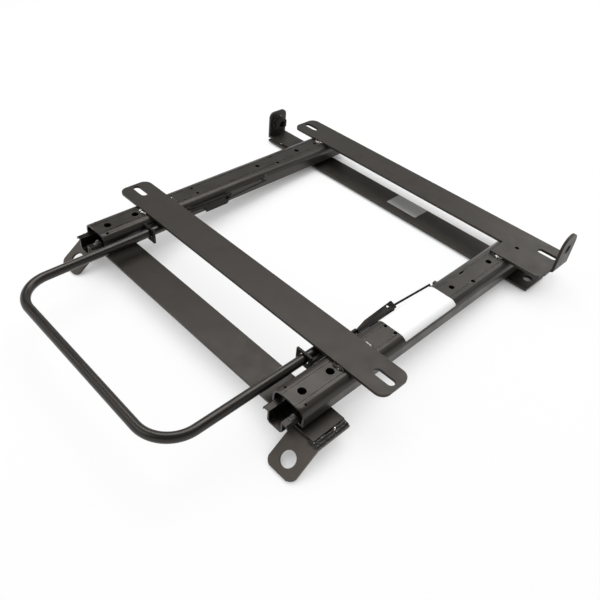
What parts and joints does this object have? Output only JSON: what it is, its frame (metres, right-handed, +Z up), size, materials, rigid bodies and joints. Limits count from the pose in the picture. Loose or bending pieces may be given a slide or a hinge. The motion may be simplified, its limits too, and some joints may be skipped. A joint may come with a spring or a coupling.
{
  "type": "seat slide rail",
  "caption": "Car seat base: slotted cross plates on twin ball-race slide rails, with a U-shaped release handle, lock levers, angled front feet and a belt anchor tab",
  "frame": {"origin": "Centre of the seat bolt slots, on the top face of the two cross plates", "axes": "+X is the right side (belt tab side), +Y is to the rear along the rails, +Z is up, out of the plates' top"},
  "size_m": [0.46, 0.506, 0.0985],
  "materials": {
    "black_paint": "satin",
    "handle_paint": "semi-gloss",
    "dark_steel": "satin",
    "pin_steel": "machined",
    "nylon": "moulded"
  },
  "bodies": {
    "base": {"lower_rail_left": "black_paint", "lower_rail_right": "black_paint", "front_cross_bar": "black_paint", "rear_cross_bar": "black_paint", "front_foot_left": "black_paint", "front_foot_right": "black_paint", "rear_left_bracket": "black_paint", "bracket_nut": "dark_steel", "front_stops": "nylon"},
    "carriage": {"upper_rail_left": "black_paint", "upper_rail_right": "black_paint", "front_top_plate": "black_paint", "rear_top_plate": "black_paint", "pivot_brackets": "black_paint", "handle_pins": "pin_steel", "lever_pins": "pin_steel", "return_wire_left": "pin_steel", "return_wire_right": "pin_steel"},
    "handle": {"handle_bar": "handle_paint"},
    "lever_l": {"lever_left": "dark_steel"},
    "lever_r": {"lever_right": "dark_steel"},
    "cages_l": {"ball_cages_left": "pin_steel", "balls_left": "pin_steel"},
    "cages_r": {"ball_cages_right": "pin_steel", "balls_right": "pin_steel"}
  },
  "joints": [
    {"name": "seat_slide", "type": "slide", "parent": "base", "child": "carriage", "axis": [0, 1, 0], "range_m": [-0.09, 0.09]},
    {"name": "handle_lift", "type": "hinge", "parent": "carriage", "child": "handle", "pos_m": [-0.0015, -0.146, -0.0105], "axis": [-1, 0, 0], "range_deg": [0, 4], "stiffness_Nm_per_rad": 2, "springref_deg": -5.73},
    {"name": "lever_right_turn", "type": "hinge", "parent": "carriage", "child": "lever_r", "pos_m": [0.1325, -0.128, -0.0105], "axis": [0, 1, 0], "range_deg": [0, 15.2]},
    {"name": "lever_left_turn", "type": "hinge", "parent": "carriage", "child": "lever_l", "pos_m": [-0.1355, -0.128, -0.0105], "axis": [0, -1, 0], "range_deg": [0, 15.2]},
    {"name": "cages_left_roll", "type": "slide", "parent": "base", "child": "cages_l", "axis": [0, 1, 0], "range_m": [-0.045, 0.045]},
    {"name": "cages_right_roll", "type": "slide", "parent": "base", "child": "cages_r", "axis": [0, 1, 0], "range_m": [-0.045, 0.045]}
  ],
  "couplings": [
    {"joint": "lever_right_turn", "follows": "handle_lift", "ratio": 3.8},
    {"joint": "lever_left_turn", "follows": "handle_lift", "ratio": 3.8},
    {"joint": "cages_left_roll", "follows": "seat_slide", "ratio": 0.5},
    {"joint": "cages_right_roll", "follows": "seat_slide", "ratio": 0.5}
  ]
}
